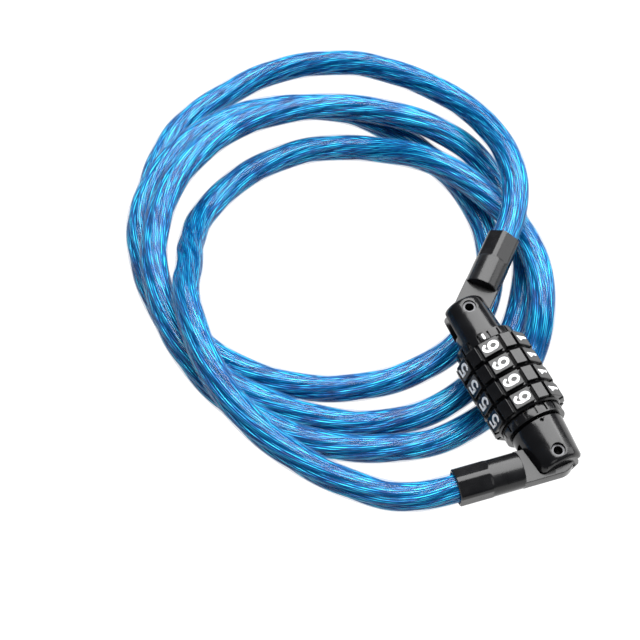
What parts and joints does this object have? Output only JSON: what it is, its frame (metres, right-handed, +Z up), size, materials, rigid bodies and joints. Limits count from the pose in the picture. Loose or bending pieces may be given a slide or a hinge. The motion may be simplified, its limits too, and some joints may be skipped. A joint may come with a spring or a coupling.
{
  "type": "combination cable lock",
  "caption": "Combination cable lock: a black barrel with turning number dials, pinned at both ends to crimped ferrules on a loosely coiled blue covered steel cable.",
  "frame": {"origin": "on the barrel's axis, 18.5 mm from the bolt's pivot pin towards the dials", "axes": "+X along the barrel, towards the end that slides out; +Z up, parallel to the pivot pins; the lock lies level on its own coiled cable, 17 mm above the table"},
  "size_m": [0.1446, 0.1038, 0.0292],
  "materials": {
    "cable_cover": "clear blue vinyl over braided steel strands",
    "barrel_black": "black satin-gloss coating",
    "ferrule_black": "black satin coating on crimped steel",
    "dial_black": "black moulded, satin gloss, white figures",
    "pin_steel": "plain steel",
    "sleeve_zinc": "die cast",
    "gate_brass": "turned",
    "seal_rubber": "soft black"
  },
  "bodies": {
    "lock_body": {"cable": "cable_cover", "housing": "barrel_black", "housing_pivot_pin": "pin_steel", "spindle_sleeve": "sleeve_zinc", "sleeve_pin": "pin_steel", "bolt_collar": "barrel_black", "housing_collar": "barrel_black", "retaining_ring": "pin_steel", "thrust_washers": "pin_steel", "detent_spring": "pin_steel", "bolt_seal": "seal_rubber"},
    "dial_1": {"dial_1": "dial_black", "gate_ring_1": "gate_brass"},
    "dial_2": {"dial_2": "dial_black", "gate_ring_2": "gate_brass"},
    "dial_3": {"dial_3": "dial_black", "gate_ring_3": "gate_brass"},
    "dial_4": {"dial_4": "dial_black", "gate_ring_4": "gate_brass"},
    "bolt": {"bolt_head": "barrel_black", "bolt_rod": "sleeve_zinc", "bolt_pivot_pin": "pin_steel"},
    "bolt_ferrule": {"bolt_ferrule": "ferrule_black"},
    "housing_ferrule": {"housing_ferrule": "ferrule_black"}
  },
  "joints": [
    {"name": "dial_1_turn", "type": "hinge", "parent": "lock_body", "child": "dial_1", "pos_m": [0.00535, 0, 0], "axis": [1, 0, 0], "continuous": true},
    {"name": "dial_2_turn", "type": "hinge", "parent": "lock_body", "child": "dial_2", "pos_m": [0.00045, 0, 0], "axis": [1, 0, 0], "continuous": true},
    {"name": "dial_3_turn", "type": "hinge", "parent": "lock_body", "child": "dial_3", "pos_m": [-0.00445, 0, 0], "axis": [1, 0, 0], "continuous": true},
    {"name": "dial_4_turn", "type": "hinge", "parent": "lock_body", "child": "dial_4", "pos_m": [-0.00935, 0, 0], "axis": [1, 0, 0], "continuous": true},
    {"name": "bolt_slide", "type": "slide", "parent": "lock_body", "child": "bolt", "axis": [1, 0, 0], "range_m": [0, 0.03], "deforming": ["cable"]},
    {"name": "bolt_ferrule_pivot", "type": "hinge", "parent": "bolt", "child": "bolt_ferrule", "pos_m": [0.0185, 0, 0], "axis": [0, 0, 1], "range_deg": [-40, 140], "deforming": ["cable"]},
    {"name": "housing_ferrule_pivot", "type": "hinge", "parent": "lock_body", "child": "housing_ferrule", "pos_m": [-0.023, 0, 0], "axis": [0, 0, 1], "range_deg": [-6, 204], "deforming": ["cable"]}
  ]
}
